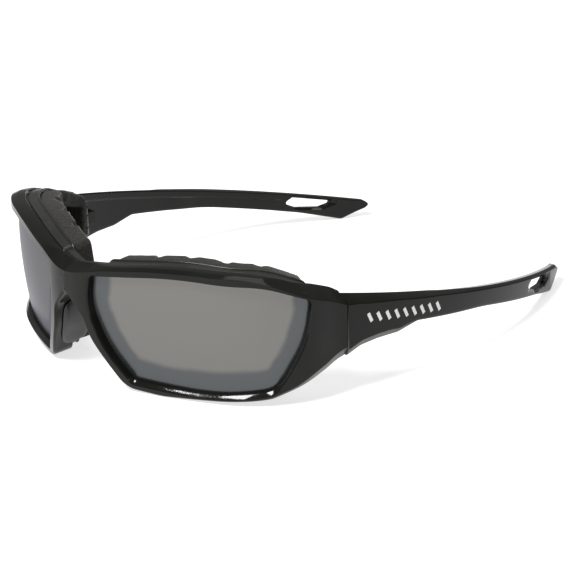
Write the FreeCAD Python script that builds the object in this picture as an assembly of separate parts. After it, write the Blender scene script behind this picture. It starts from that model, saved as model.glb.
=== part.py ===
import FreeCAD, Part
import math
import os
from FreeCAD import Matrix, Vector

# Foam-sealed wraparound riding glasses, in millimetres.
#
# +Z is up, -Y is the front of the glasses, +Y runs back along the temples, and +X is the
# wearer's left. The glasses stand open on a table, on the bottom of both rims and on the
# low corner of both temple tips, and the origin is on the table, in the middle of the
# footprint. Every left piece is built once and mirrored in the plane x = 0.
#
# The front is built upright and then raked. Its plan is one smooth curve made of three
# arcs: a gentle one over the lens, a tight one round the side, and the start of the long
# arc that the temple carries on. "Depth" is measured inwards from that curve.

# ---- overall sizes ----
HALF_WIDTH = 70.2          # widest half of the glasses, at the temples
FRONT_HEIGHT = 42.3        # tallest part of the upright front
FRONT_DEPTH = 53.2         # from the front of the bridge to the seam
TEMPLE_LENGTH = 116.5      # from the seam to the end of the tip
RAKE = 5.5                 # degrees, the top of the front leans forward

# ---- plan curve of the front ----
BRIDGE_Y = -8.2            # foremost point of the bridge, before it is raked
BRIDGE_ANGLE = 13.0        # degrees, how far each half sweeps back at the bridge
LENS_CURVE_R = 200.0
SIDE_BEND_R = 38.0
TEMPLE_CURVE_R = 167.2     # outer face of the temple, seen from above
TEMPLE_WIDEST_Y = 73.0

# ---- thicknesses and fits ----
FRONT_T = 6.2
LENS_SETBACK = 2.2         # from the rim's front face to the lens
LENS_T = 2.0
LENS_BITE = 1.3            # how far the lens reaches into its groove
LENS_PLAY = 0.08           # free space behind and round the lens
CARRIER_T = 2.4
CARRIER_OUT = 1.5          # carrier outside the opening
CARRIER_IN = 1.7           # carrier inside the opening
TAPE_T = 0.5
FOAM_T = 6.4
FOAM_OUT = 1.1
FOAM_IN = 2.9
CARRIER_INSET = 1.6        # the bridge of the carrier stays this far inside the front's edge
CARRIER_BRIDGE_HALF = 13.0
VENT_WIDTH = 4.0
VENT_DEPTH = 1.6
VENT_STATIONS = (-0.3, -0.1, 0.11, 0.3)    # shares of the half width
PAD_T = 2.0
PAD_FRONT_DEPTH = 2.4
PAD_REAR_DEPTH = 11.5
PAD_LOW = 5.5
PAD_HIGH = 24.0

# ---- temples ----
TEMPLE_T = 4.2             # mean thickness
TEMPLE_TAPER = 2.3         # shifts the inner arc back, so that the tip is thinner
SEAM_GAP = 0.3
CHIN_RISE = 1.2            # underside of the temple above the seam's low end, at the chin's rear
WAIST_RISE = 3.0           # and just behind the chin
CHIN_LENGTH = 18.7
TIP_SLANT = 11.5           # the tip's end leans by this much
TIP_END_TOP = 5.2
WINDOW_TO_END = 30.5       # from the strap window's front to the end of the tip
WINDOW_LENGTH = 18.0
WINDOW_HEIGHT = 3.2
WINDOW_BORDER = 1.4        # plastic left above the window

# ---- hinge ----
HINGE_INSET = 6.6          # axis inside the outer face of the temple
HINGE_BEHIND = 1.4         # axis behind the seam
KNUCKLE_R = 2.2
KNUCKLE_CLEAR = 0.35
TONGUE_HEIGHT = 4.0
LUG_HEIGHT = 2.6
TONGUE_GAP = 0.1
SCREW_R = 0.75
SCREW_RUNNING = 0.05
SCREW_HEAD_R = 1.45
SCREW_HEAD_T = 0.8
NUT_ACROSS = 2.8
NUT_T = 1.1

# ---- fan: the outlines are cut by walls that all aim at one upright line ----
FAN_X = 0.1425 * HALF_WIDTH
FAN_Y = 64.0
FAN_ANGLE = 29.5
FAN_REACH = 0.9437 * HALF_WIDTH

SEAM_Y = BRIDGE_Y + FRONT_DEPTH
FIT = 0.02                 # overshoot of a cutting tool, so that no faces coincide
FAR = 400.0

# Outlines in the fan's own plane: across as a share of the half width, up as a share of
# the front's height, and the corner's radius.
FRAME_OUTLINE = (
    (-0.855, 0.905, 0.0),
    (-0.499, 0.941, 60.0),
    (-0.100, 1.002, 60.0),
    (0.285, 0.957, 30.0),
    (0.570, 0.775, 25.0),
    (1.197, 0.487, 0.0),
    (1.197, 0.411, 0.0),
    (0.306, 0.007, 6.0),
    (-0.214, -0.007, 30.0),
    (-0.402, 0.024, 8.0),
    (-0.567, 0.392, 20.0),
    (-0.598, 0.553, 8.0),
    (-0.712, 0.714, 5.0),
    (-0.855, 0.747, 0.0),
)
OPENING_OUTLINE = (
    (-0.541, 0.877, 1.6),
    (-0.071, 0.943, 120.0),
    (0.313, 0.879, 40.0),
    (0.567, 0.709, 2.6),
    (0.507, 0.421, 40.0),
    (0.339, 0.073, 2.2),
    (0.000, 0.045, 120.0),
    (-0.370, 0.095, 4.0),
    (-0.487, 0.336, 40.0),
    (-0.564, 0.650, 25.0),
)


# ---------------------------------------------------------------- plan curve


def tangent_centre(centre_a, reach_a, centre_b, reach_b):
    """Centre of an arc that lies reach_a from one centre and reach_b from the other."""
    line = centre_b - centre_a
    along = (reach_a ** 2 - reach_b ** 2 + line.Length ** 2) / (2.0 * line.Length)
    across = math.sqrt(reach_a ** 2 - along ** 2)
    unit = Vector(line).normalize()
    side = Vector(-unit.y, unit.x, 0)
    return centre_a + unit * along + side * across


BEND_ANGLE = math.radians(BRIDGE_ANGLE)
LENS_CENTRE = Vector(0, BRIDGE_Y, 0) + LENS_CURVE_R * Vector(-math.sin(BEND_ANGLE), math.cos(BEND_ANGLE), 0)
TEMPLE_CENTRE = Vector(HALF_WIDTH - TEMPLE_CURVE_R, TEMPLE_WIDEST_Y, 0)
BEND_CENTRE = tangent_centre(
    LENS_CENTRE, LENS_CURVE_R - SIDE_BEND_R, TEMPLE_CENTRE, TEMPLE_CURVE_R - SIDE_BEND_R
)


def heading(start, end):
    """Angle of the line from start to end, in radians from +X."""
    return math.atan2(end.y - start.y, end.x - start.x)


BRIDGE_END = heading(LENS_CENTRE, Vector(0, BRIDGE_Y, 0)) - 0.06
LENS_TO_BEND = heading(LENS_CENTRE, BEND_CENTRE)
BEND_TO_TEMPLE = heading(TEMPLE_CENTRE, BEND_CENTRE)
FRONT_END = math.asin((SEAM_Y + 8.0 - TEMPLE_WIDEST_Y) / TEMPLE_CURVE_R)


def on_circle(centre, radius, angle):
    return centre + Vector(radius * math.cos(angle), radius * math.sin(angle), 0)


def arc(centre, radius, start, end):
    """Circular edge that runs from one angle to the other."""
    middle = (start + end) / 2.0
    points = [on_circle(centre, radius, angle) for angle in (start, middle, end)]
    return Part.Arc(*points).toShape()


def plan_edges(depth):
    """The three arcs of the plan curve, moved inwards by a depth."""
    return [
        arc(LENS_CENTRE, LENS_CURVE_R - depth, BRIDGE_END, LENS_TO_BEND),
        arc(BEND_CENTRE, SIDE_BEND_R - depth, LENS_TO_BEND, BEND_TO_TEMPLE),
        arc(TEMPLE_CENTRE, TEMPLE_CURVE_R - depth, BEND_TO_TEMPLE, FRONT_END),
    ]


def band(near, far):
    """Upright slab between two depths behind the plan curve, taller than the front."""
    outer = plan_edges(near)
    inner = plan_edges(far)
    ends = [
        Part.makeLine(outer[0].Vertexes[0].Point, inner[0].Vertexes[0].Point),
        Part.makeLine(outer[2].Vertexes[1].Point, inner[2].Vertexes[1].Point),
    ]
    wire = Part.Wire(Part.__sortEdges__(outer + inner + ends))
    slab = Part.Face(wire).extrude(Vector(0, 0, FRONT_HEIGHT + 20.0))
    slab.translate(Vector(0, 0, -10.0))
    return slab


# ---------------------------------------------------------------- outlines


def rounded_wire(corners):
    """Closed wire through (x, y, radius) corners, rounded as far as the sides have room."""
    count = len(corners)
    starts = []
    edges = []
    for index, (x, y, radius) in enumerate(corners):
        here = Vector(x, y, 0)
        before = Vector(*corners[index - 1][:2], 0) - here
        after = Vector(*corners[(index + 1) % count][:2], 0) - here
        if radius == 0.0:
            starts.append((here, here))
            continue
        room = 0.49 * min(before.Length, after.Length)
        before.normalize()
        after.normalize()
        opening = before.getAngle(after)
        run = min(radius / math.tan(opening / 2.0), room)
        radius = run * math.tan(opening / 2.0)
        bisector = (before + after).normalize()
        centre = here + bisector * (radius / math.sin(opening / 2.0))
        middle = centre - bisector * radius
        edges.append(Part.Arc(here + before * run, middle, here + after * run).toShape())
        starts.append((here + before * run, here + after * run))
    for index in range(count):
        start = starts[index][1]
        end = starts[(index + 1) % count][0]
        edges.append(Part.makeLine(start, end))
    return Part.Wire(Part.__sortEdges__(edges))


def full_size(outline):
    """An outline in millimetres."""
    return [(x * HALF_WIDTH, y * FRONT_HEIGHT, radius) for x, y, radius in outline]


def fan_matrix(reach):
    """Places the outline's plane at a share of the fan's full reach."""
    turn = math.radians(FAN_ANGLE)
    out = Vector(math.sin(turn), -math.cos(turn), 0) * (FAN_REACH * reach)
    matrix = Matrix()
    matrix.A11 = math.cos(turn) * reach
    matrix.A21 = math.sin(turn) * reach
    matrix.A31 = 0.0
    matrix.A12 = 0.0
    matrix.A22 = 0.0
    matrix.A32 = 1.0
    matrix.A13 = math.sin(turn)
    matrix.A23 = -math.cos(turn)
    matrix.A33 = 0.0
    matrix.A14 = FAN_X + out.x
    matrix.A24 = FAN_Y + out.y
    return matrix


def fan_solid(outline, grow=0.0):
    """Solid swept by an outline as it opens out from the fan's upright line."""
    wire = rounded_wire(full_size(outline))
    if grow:
        wire = wire.makeOffset2D(grow)
    ends = [wire.transformGeometry(fan_matrix(reach)) for reach in (0.45, 1.5)]
    faces = [Part.Face(end) for end in ends]
    for near, far in zip(ends[0].Edges, ends[1].Edges):
        faces.append(Part.makeRuledSurface(near, far))
    shell = Part.makeShell(faces)
    shell.sewShape()
    solid = Part.makeSolid(shell)
    if solid.Volume < 0:
        solid.reverse()
    return solid


def box(x_span, y_span, z_span):
    """Box between three pairs of limits."""
    low = Vector(x_span[0], y_span[0], z_span[0])
    size = (x_span[1] - x_span[0], y_span[1] - y_span[0], z_span[1] - z_span[0])
    return Part.makeBox(*size, low)


# ---------------------------------------------------------------- placing


def raked(shape):
    """Leans an upright piece of the front forward, about the line of its brow."""
    turned = shape.copy()
    turned.rotate(Vector(0, 0, RAKE_Z), Vector(1, 0, 0), RAKE)
    return turned


RAKE_Z = 35.0
LEFT_HALF = box((0.0, FAR), (-FAR, FAR), (-FAR, FAR))
AHEAD_OF_SEAM = box((-FAR, FAR), (-FAR, SEAM_Y), (-FAR, FAR))


def mirrored(shape):
    return shape.mirror(Vector(0, 0, 0), Vector(1, 0, 0))


def both_halves(half):
    """One solid from a left half and its mirror image."""
    left = half.common(LEFT_HALF)
    return left.fuse(mirrored(left)).removeSplitter()


# ---------------------------------------------------------------- front


def lens_blank(play):
    """Lens, or with some play the groove that holds it."""
    slab = band(LENS_SETBACK, LENS_SETBACK + LENS_T + play)
    return slab.common(fan_solid(OPENING_OUTLINE, LENS_BITE + play))


def front_half():
    rim = band(0.0, FRONT_T).common(fan_solid(FRAME_OUTLINE))
    rim = rim.cut(fan_solid(OPENING_OUTLINE))
    return raked(rim.cut(lens_blank(LENS_PLAY))).common(AHEAD_OF_SEAM)


def ring(near, far, outside, inside):
    """Ring round the lens opening, between two depths."""
    outer = fan_solid(OPENING_OUTLINE, outside)
    inner = fan_solid(OPENING_OUTLINE, -inside)
    return band(near, far).common(outer).cut(inner)


def carrier_half():
    near = FRONT_T
    far = near + CARRIER_T
    bridge = band(near, far).common(fan_solid(FRAME_OUTLINE, -CARRIER_INSET))
    bridge = bridge.common(box((-5.0, CARRIER_BRIDGE_HALF), (-FAR, FAR), (-FAR, FAR)))
    bridge = bridge.cut(fan_solid(OPENING_OUTLINE))
    return raked(ring(near, far, CARRIER_OUT, CARRIER_IN).fuse(bridge))


def tape():
    near = FRONT_T + CARRIER_T
    return raked(ring(near, near + TAPE_T, FOAM_OUT, FOAM_IN - 1.0))


def vent_cutters(near, far):
    """Notches through the top and the bottom of the foam."""
    half = VENT_WIDTH / HALF_WIDTH / 2.0
    cutters = []
    for station in VENT_STATIONS:
        slot = [
            (station - half, -0.5, 0.0),
            (station + half, -0.5, 0.0),
            (station + half, 1.5, 0.0),
            (station - half, 1.5, 0.0),
        ]
        cutters.append(fan_solid(slot).common(band(near, far)))
    return cutters


def foam():
    near = FRONT_T + CARRIER_T + TAPE_T
    far = near + FOAM_T
    solid = ring(near, far, FOAM_OUT, FOAM_IN)
    for cutter in vent_cutters(far - VENT_DEPTH, far + 5.0):
        solid = solid.cut(cutter)
    return raked(solid)


def nose_pad():
    """Soft pad that hugs the edge of the nose cut-out."""
    hug = fan_solid(FRAME_OUTLINE, PAD_T).cut(fan_solid(FRAME_OUTLINE))
    reach = box((0.8, 30.0), (-FAR, 30.0), (PAD_LOW, PAD_HIGH))
    return raked(hug.common(band(PAD_FRONT_DEPTH, PAD_REAR_DEPTH)).common(reach))


# ---------------------------------------------------------------- temples and hinges


def seam_heights():
    """Lower and upper outer corner of the front's end face at the seam."""
    corners = [vertex.Point for vertex in front_half().Vertexes]
    corners = [corner for corner in corners if abs(corner.y - SEAM_Y) < FIT]
    outer = sorted(corners, key=lambda corner: corner.x)[-2:]
    return sorted(corner.z for corner in outer)


SEAM_LOW, SEAM_TOP = seam_heights()


def temple_outline():
    """Side view of the temple: distance along Y, height, corner radius."""
    start = SEAM_Y + SEAM_GAP
    end = SEAM_Y + TEMPLE_LENGTH
    low = end - TIP_SLANT
    return (
        (start, SEAM_TOP, 0.0),
        (end, TIP_END_TOP, 1.6),
        (low, 0.0, 1.6),
        (low - 14.0, 4.3, 60.0),
        (start + 0.49 * TEMPLE_LENGTH, 12.4, 120.0),
        (start + CHIN_LENGTH + 8.0, SEAM_LOW + WAIST_RISE, 5.0),
        (start + CHIN_LENGTH, SEAM_LOW + CHIN_RISE, 6.0),
        (start, SEAM_LOW, 0.0),
    )


def side_prism(outline):
    """Prism across the glasses from a side-view outline."""
    face = Part.Face(rounded_wire(outline))
    face.rotate(Vector(0, 0, 0), Vector(1, 0, 0), 90)
    face.rotate(Vector(0, 0, 0), Vector(0, 0, 1), 90)
    return face.extrude(Vector(FAR, 0, 0))


def temple_blank():
    """Curved wall of the temple, thinner towards the tip."""
    height = 2.0 * FRONT_HEIGHT
    outer = Part.makeCylinder(TEMPLE_CURVE_R, height, TEMPLE_CENTRE - Vector(0, 0, 5.0))
    inner_centre = TEMPLE_CENTRE + Vector(0, TEMPLE_TAPER, -6.0)
    inner = Part.makeCylinder(TEMPLE_CURVE_R - TEMPLE_T, height + 5.0, inner_centre)
    return outer.cut(inner)


def window_outline():
    """Slanted strap window near the tip."""
    front = SEAM_Y + TEMPLE_LENGTH - WINDOW_TO_END
    rear = front + WINDOW_LENGTH
    fall = (SEAM_TOP - TIP_END_TOP) / (TEMPLE_LENGTH - SEAM_GAP)
    top = TIP_END_TOP + (WINDOW_TO_END - 3.0) * fall - WINDOW_BORDER
    rear_top = top - (WINDOW_LENGTH - 3.0) * fall
    return (
        (front, top - WINDOW_HEIGHT * 0.55, 0.8),
        (front + 3.0, top, 0.8),
        (rear, rear_top, 0.5),
        (rear - 5.5, rear_top - WINDOW_HEIGHT * 0.5, 0.8),
        (front + 5.0, top - WINDOW_HEIGHT - 0.9, 0.8),
    )


HINGE_Y = SEAM_Y + HINGE_BEHIND
HINGE_X = (
    TEMPLE_CENTRE.x
    + math.sqrt(TEMPLE_CURVE_R ** 2 - (SEAM_Y - TEMPLE_WIDEST_Y) ** 2)
    - HINGE_INSET
)
HINGE_Z = (SEAM_LOW + SEAM_TOP) / 2.0
TONGUE_LOW = HINGE_Z - TONGUE_HEIGHT / 2.0
TONGUE_TOP = HINGE_Z + TONGUE_HEIGHT / 2.0
LUG_LOW = TONGUE_LOW - TONGUE_GAP - LUG_HEIGHT
LUG_TOP = TONGUE_TOP + TONGUE_GAP + LUG_HEIGHT


def pivot(radius, low, high):
    """Upright cylinder on the hinge axis."""
    return Part.makeCylinder(radius, high - low, Vector(HINGE_X, HINGE_Y, low))


def hex_prism(across, low, high):
    """Upright hexagonal prism on the hinge axis."""
    radius = across / math.sqrt(3.0)
    points = []
    for step in range(7):
        angle = math.radians(60.0 * step)
        points.append(on_circle(Vector(HINGE_X, HINGE_Y, low), radius, angle))
    return Part.Face(Part.makePolygon(points)).extrude(Vector(0, 0, high - low))


def hinge_lugs():
    """Two ears of the front that hold the temple's tongue between them."""
    root = SEAM_Y - 4.0
    lugs = pivot(KNUCKLE_R, LUG_LOW, LUG_TOP)
    block = box(
        (HINGE_X - KNUCKLE_R, HINGE_X + KNUCKLE_R), (root, HINGE_Y), (LUG_LOW, LUG_TOP)
    )
    lugs = lugs.fuse(block)
    lugs = lugs.cut(pivot(SCREW_HEAD_R, LUG_TOP - SCREW_HEAD_T, LUG_TOP + FIT))
    lugs = lugs.cut(hex_prism(NUT_ACROSS, LUG_LOW - FIT, LUG_LOW + NUT_T))
    return lugs


def tongue_space():
    """Room that the tongue needs between the ears and inside the endpiece."""
    low = TONGUE_LOW - TONGUE_GAP
    high = TONGUE_TOP + TONGUE_GAP
    room = pivot(KNUCKLE_R + KNUCKLE_CLEAR, low, high)
    side = box((HINGE_X - 2.0 * KNUCKLE_R, HINGE_X), (SEAM_Y - 2.0, FAR), (low, high))
    behind = box((HINGE_X - 2.0 * KNUCKLE_R, FAR), (HINGE_Y, FAR), (low, high))
    return room.fuse(side).fuse(behind)


def front_frame():
    half = front_half().fuse(hinge_lugs())
    half = half.cut(tongue_space()).cut(pivot(SCREW_R, LUG_LOW - FIT, LUG_TOP + FIT))
    return both_halves(half)


def temple():
    wall = temple_blank().common(side_prism(temple_outline()))
    wall = wall.cut(side_prism(window_outline()))
    behind_lugs = (0.0, HINGE_X + KNUCKLE_R + KNUCKLE_CLEAR)
    wall = wall.cut(box(behind_lugs, (0.0, SEAM_Y + 12.0), (0.0, FAR)))
    tongue = pivot(KNUCKLE_R, TONGUE_LOW, TONGUE_TOP)
    arm = box(
        (HINGE_X, HINGE_X + HINGE_INSET - 1.5),
        (SEAM_Y + SEAM_GAP, SEAM_Y + 7.0),
        (TONGUE_LOW, TONGUE_TOP),
    )
    whole = wall.fuse(tongue).fuse(arm)
    hole = pivot(SCREW_R + SCREW_RUNNING, TONGUE_LOW - FIT, TONGUE_TOP + FIT)
    return whole.cut(hole).removeSplitter()


def hinge_screw():
    head = pivot(SCREW_HEAD_R, LUG_TOP - SCREW_HEAD_T, LUG_TOP)
    slot = box(
        (HINGE_X - 2.0, HINGE_X + 2.0), (HINGE_Y - 0.2, HINGE_Y + 0.2), (LUG_TOP - 0.35, LUG_TOP + FIT)
    )
    return head.fuse(pivot(SCREW_R, LUG_LOW, LUG_TOP - SCREW_HEAD_T)).cut(slot)


def hinge_nut():
    blank = hex_prism(NUT_ACROSS, LUG_LOW, LUG_LOW + NUT_T)
    return blank.cut(pivot(SCREW_R, LUG_LOW - FIT, LUG_LOW + NUT_T + FIT))


# ---------------------------------------------------------------- assembly


def all_pieces():
    """Every piece of the glasses by name, standing on the table."""
    pieces = {
        "front_frame": front_frame(),
        "seal_carrier": both_halves(carrier_half()),
    }
    left_pieces = {
        "lens": raked(lens_blank(0.0)),
        "foam_tape": tape(),
        "foam_seal": foam(),
        "nose_pad": nose_pad(),
        "temple": temple(),
        "hinge_screw": hinge_screw(),
        "hinge_nut": hinge_nut(),
    }
    for name, shape in left_pieces.items():
        pieces["left_" + name] = shape
        pieces["right_" + name] = mirrored(shape)
    whole = Part.makeCompound(list(pieces.values())).optimalBoundingBox(False)
    drop = Vector(0, -(whole.YMin + whole.YMax) / 2.0, -whole.ZMin)
    for shape in pieces.values():
        shape.translate(drop)
    return pieces, drop


def main():
    os.makedirs("parts", exist_ok=True)
    pieces, drop = all_pieces()
    for name, shape in pieces.items():
        shape.exportStep("parts/" + name + ".step")
        print(name, "solids", len(shape.Solids), "valid", shape.isValid(), "mm3", round(shape.Volume, 1))
    axis = Vector(HINGE_X, HINGE_Y, HINGE_Z) + drop
    print("moved by", tuple(round(value, 3) for value in drop))
    print("left hinge axis", tuple(round(value, 3) for value in axis))


main()
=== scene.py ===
"""Looks of a pair of foam-sealed wraparound riding glasses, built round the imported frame.

Metres, +Z up, -Y the front, +X the wearer's left. Outlines are kept in millimetres, in the
fan's own plane, and are placed on the curved front by PlanCurve.
"""

import logging
import math
from bisect import bisect_right
from dataclasses import dataclass, field
from enum import Enum
from typing import Callable, Sequence

import bmesh
import bpy
from mathutils import Matrix, Vector


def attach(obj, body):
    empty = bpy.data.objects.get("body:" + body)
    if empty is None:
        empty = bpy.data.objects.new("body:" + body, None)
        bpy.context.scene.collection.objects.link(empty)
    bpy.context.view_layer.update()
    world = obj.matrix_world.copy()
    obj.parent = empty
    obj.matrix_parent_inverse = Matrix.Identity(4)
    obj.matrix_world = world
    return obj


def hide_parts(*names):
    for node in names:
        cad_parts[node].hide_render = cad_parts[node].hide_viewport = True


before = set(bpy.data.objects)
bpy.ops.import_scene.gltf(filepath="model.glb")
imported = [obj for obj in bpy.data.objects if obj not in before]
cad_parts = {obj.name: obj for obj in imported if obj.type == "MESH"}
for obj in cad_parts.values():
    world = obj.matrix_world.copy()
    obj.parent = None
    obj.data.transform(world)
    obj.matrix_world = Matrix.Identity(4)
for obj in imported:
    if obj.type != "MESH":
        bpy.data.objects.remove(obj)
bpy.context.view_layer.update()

log = logging.getLogger("glasses")
MM = 0.001
SEAM_Y = 45.0
SHIFT = Vector((0.0, -74.789, 0.003))

Corner = tuple[float, float, float]
Colour = tuple[float, float, float]
Table = tuple[tuple[float, float], ...]
Path = list[Vector]
Mesh = bpy.types.Mesh
Material = bpy.types.Material
Tree = bpy.types.NodeTree
Socket = bpy.types.NodeSocket


class Side(Enum):
    """A wearer's side, and the sign of its X."""

    LEFT = 1
    RIGHT = -1

    @property
    def prefix(self) -> str:
        """Start of the names of this side's pieces."""
        return "left_" if self is Side.LEFT else "right_"

    def mirrored(self, point: Vector) -> Vector:
        """This side's match of a point on the left."""
        return Vector((point.x * self.value, point.y, point.z))


class Slot(Enum):
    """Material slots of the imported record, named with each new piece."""

    FRAME = "frame_plastic"
    TEMPLE = "temple_plastic"
    LENS = "lens"
    CARRIER = "carrier_plastic"
    FOAM = "foam"
    PAD = "pad_rubber"


# ------------------------------------------------------------------ outlines

FRAME_CORNERS: tuple[Corner, ...] = (
    (-60.0, 38.3, 0.0), (-35.0, 39.8, 120.0), (-7.0, 42.4, 200.0), (20.0, 40.5, 65.0),
    (40.0, 32.8, 120.0), (66.0, 25.6, 0.0), (66.0, 9.2, 0.0), (50.0, 7.4, 40.0), (21.5, 0.3, 6.0),
    (-15.0, -0.3, 30.0), (-28.2, 1.0, 8.0), (-39.8, 16.6, 20.0), (-42.0, 23.4, 8.0),
    (-50.0, 30.2, 5.0), (-60.0, 31.6, 0.0),
)
OPENING_CORNERS: tuple[Corner, ...] = (
    (-38.0, 37.1, 1.6), (-5.0, 39.9, 120.0), (22.0, 37.2, 40.0), (39.8, 30.0, 2.6),
    (35.6, 17.8, 40.0), (23.8, 3.1, 11.0), (0.0, 1.9, 120.0), (-26.0, 4.0, 4.0),
    (-34.2, 14.2, 40.0), (-39.6, 27.5, 25.0),
)
# Where the walls of the front are spanned: a point near the opening, a point near the edge.
SPANS: tuple[tuple[float, float, float, float], ...] = (
    (-36.5, 37.2, -43.0, 39.3), (-30.0, 37.8, -33.0, 39.9), (-5.0, 39.5, -6.0, 42.2),
    (22.0, 37.0, 21.0, 40.0), (38.6, 30.5, 42.0, 32.2), (39.3, 28.6, 47.0, 30.8),
    (38.5, 26.0, 66.0, 25.6), (37.2, 22.3, 66.0, 9.2), (35.6, 17.8, 50.0, 7.4),
    (24.9, 4.5, 25.0, 1.3), (22.0, 3.0, 20.5, 0.2), (0.0, 2.0, -1.0, 0.0),
    (-24.5, 3.9, -24.0, 0.6), (-27.0, 5.3, -29.0, 2.1), (-34.2, 14.2, -38.9, 15.5),
    (-37.4, 21.9, -41.5, 22.2), (-39.0, 27.5, -50.0, 30.3), (-38.8, 32.0, -60.0, 31.6),
    (-38.3, 34.8, -60.0, 38.3),
)


def table(points: Sequence[tuple[float, float]], at: float) -> float:
    """Value of a table of (place, value) pairs, eased between them and held at its ends."""
    if at <= points[0][0]:
        return points[0][1]
    for (x0, y0), (x1, y1) in zip(points, points[1:]):
        if at <= x1:
            return y0 + (y1 - y0) * smooth(x0, x1, at)
    return points[-1][1]


def smooth(low: float, high: float, at: float) -> float:
    """Smooth step from 0 at low to 1 at high."""
    t = min(1.0, max(0.0, (at - low) / (high - low)))
    return t * t * (3.0 - 2.0 * t)


def grown(corners: Sequence[Corner], by: float) -> list[Corner]:
    """Moves every side of a clockwise outline outwards.

    Args:
        corners: (across, up, radius) of each corner.
        by: distance, below zero to move inwards.

    Returns:
        The moved corners, with radii that follow.
    """
    count = len(corners)
    points = [Vector(c[:2]) for c in corners]
    lines = []
    for i in range(count):
        a, b = points[i], points[(i + 1) % count]
        way = (b - a).normalized()
        lines.append((a + Vector((-way.y, way.x)) * by, way))
    moved = []
    for i in range(count):
        (p, u), (q, v) = lines[i - 1], lines[i]
        cross = u.x * v.y - u.y * v.x
        step = ((q.x - p.x) * v.y - (q.y - p.y) * v.x) / cross
        point = p + u * step
        moved.append((point.x, point.y, max(corners[i][2] + by, 0.7)))
    return moved


def traced(
    corners: Sequence[Corner], pitch: float = 0.9, turns: int = 7, guide: Sequence[Corner] = ()
) -> Path:
    """Points round an outline, with its corners rounded as far as the sides have room.

    Args:
        corners: (across, up, radius) of each corner.
        pitch: spacing on the straight runs.
        turns: pieces in each rounded corner.
        guide: outline whose sides set the number of points, so that grown outlines match.

    Returns:
        Points in order.
    """
    count = len(corners)
    points = [Vector(c[:2]) for c in corners]
    measured = [Vector(c[:2]) for c in (guide or corners)]
    arcs = []
    for i, here in enumerate(points):
        before, after = points[i - 1] - here, points[(i + 1) % count] - here
        half = before.angle(after) / 2.0
        room = 0.49 * min(before.length, after.length)
        run = min(corners[i][2] / math.tan(half), room)
        if run <= 0.0:
            arcs.append([here])
            continue
        radius = run * math.tan(half)
        middle = (before.normalized() + after.normalized()).normalized()
        centre = here + middle * (radius / math.sin(half))
        start = here + before.normalized() * run - centre
        end = here + after.normalized() * run - centre
        arcs.append([centre + turned(start, end, k / turns) for k in range(turns + 1)])
    trace: Path = []
    for i, arc in enumerate(arcs):
        trace.extend(arc)
        start, end = arc[-1], arcs[(i + 1) % count][0]
        length = (measured[(i + 1) % count] - measured[i]).length
        steps = max(1, round(length / pitch))
        trace.extend(start.lerp(end, k / steps) for k in range(1, steps))
    return trace


def turned(start: Vector, end: Vector, share: float) -> Vector:
    """Turns one flat vector towards another of the same length."""
    angle = math.atan2(start.x * end.y - start.y * end.x, start.dot(end)) * share
    c, s = math.cos(angle), math.sin(angle)
    return Vector((start.x * c - start.y * s, start.x * s + start.y * c))


class Loop:
    """A closed outline that can be read at any distance along it."""

    def __init__(self, corners: Sequence[Corner]) -> None:
        """Traces the outline finely."""
        self.points = traced(corners, 0.4, 14)
        self.marks = [0.0]
        for a, b in zip(self.points, self.points[1:] + self.points[:1]):
            self.marks.append(self.marks[-1] + (b - a).length)
        self.length = self.marks[-1]

    def nearest(self, across: float, up: float) -> float:
        """Distance along the outline of its point nearest to a place."""
        here = Vector((across, up))
        best = min(range(len(self.points)), key=lambda i: (self.points[i] - here).length)
        return self.marks[best]

    def at(self, distance: float) -> Vector:
        """Point at a distance along the outline."""
        distance %= self.length
        count = len(self.points)
        low = min(bisect_right(self.marks, distance), count) - 1
        share = (distance - self.marks[low]) / (self.marks[low + 1] - self.marks[low])
        return self.points[low].lerp(self.points[(low + 1) % count], share)

    def outwards(self, distance: float) -> Vector:
        """Unit normal that points out of the outline."""
        reach = 0.35
        way = (self.at(distance + reach) - self.at(distance - reach)).normalized()
        return Vector((-way.y, way.x))


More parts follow.
